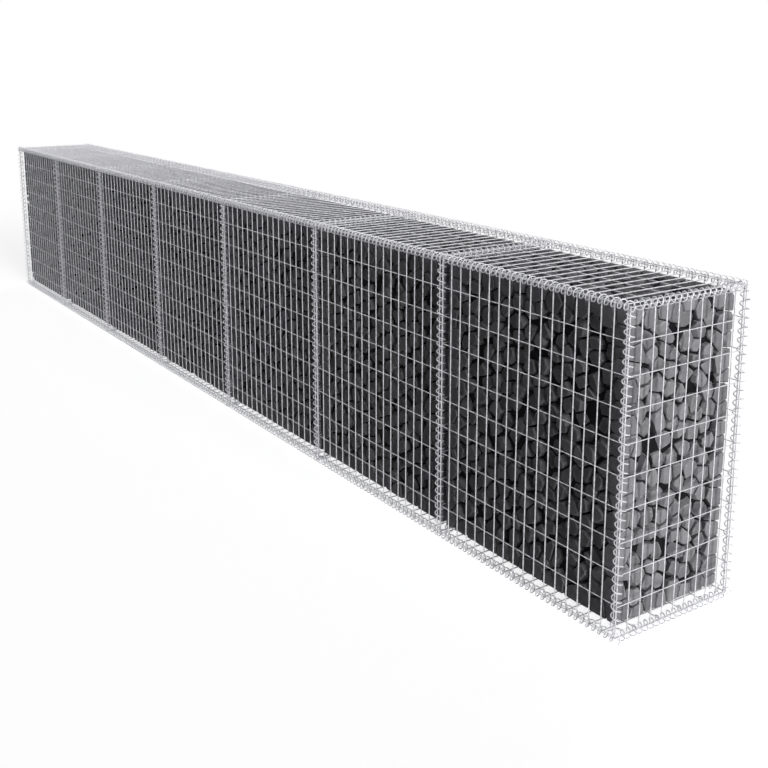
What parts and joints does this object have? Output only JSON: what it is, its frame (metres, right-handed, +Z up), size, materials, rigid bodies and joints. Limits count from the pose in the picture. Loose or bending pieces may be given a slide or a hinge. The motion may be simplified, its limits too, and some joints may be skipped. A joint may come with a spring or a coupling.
{
  "type": "gabion basket",
  "caption": "Long welded-mesh gabion basket in bays, laced with spiral wires at every edge and filled with broken stone.",
  "frame": {"origin": "on the ground, at the middle of the basket's footprint", "axes": "+X along the basket from the left end to the right end, +Y from the front to the back, +Z up"},
  "size_m": [6.031, 0.5296, 1.037],
  "materials": {
    "mesh_wire": "zinc-coated drawn wire, welded into mesh, dull silver",
    "spiral_wire": "zinc-coated wire coiled into lacing spirals, dull silver",
    "stone": "broken grey rock, matt and dusty"
  },
  "bodies": {
    "root": {"front_panel_1": "mesh_wire", "front_panel_2": "mesh_wire", "front_panel_3": "mesh_wire", "front_panel_4": "mesh_wire", "front_panel_5": "mesh_wire", "front_panel_6": "mesh_wire", "front_panel_7": "mesh_wire", "back_panel_1": "mesh_wire", "back_panel_2": "mesh_wire", "back_panel_3": "mesh_wire", "back_panel_4": "mesh_wire", "back_panel_5": "mesh_wire", "back_panel_6": "mesh_wire", "back_panel_7": "mesh_wire", "cover_1": "mesh_wire", "cover_2": "mesh_wire", "cover_3": "mesh_wire", "cover_4": "mesh_wire", "cover_5": "mesh_wire", "cover_6": "mesh_wire", "cover_7": "mesh_wire", "base_panel_1": "mesh_wire", "base_panel_2": "mesh_wire", "base_panel_3": "mesh_wire", "base_panel_4": "mesh_wire", "base_panel_5": "mesh_wire", "base_panel_6": "mesh_wire", "base_panel_7": "mesh_wire", "end_panel_left": "mesh_wire", "end_panel_right": "mesh_wire", "partition_1": "mesh_wire", "partition_2": "mesh_wire", "partition_3": "mesh_wire", "partition_4": "mesh_wire", "partition_5": "mesh_wire", "partition_6": "mesh_wire", "front_upright_spirals": "spiral_wire", "back_upright_spirals": "spiral_wire", "cover_front_spirals": "spiral_wire", "cover_back_spirals": "spiral_wire", "base_front_spirals": "spiral_wire", "base_back_spirals": "spiral_wire", "cover_cross_spirals": "spiral_wire", "base_cross_spirals": "spiral_wire", "stone_fill": "stone"}
  },
  "joints": []
}
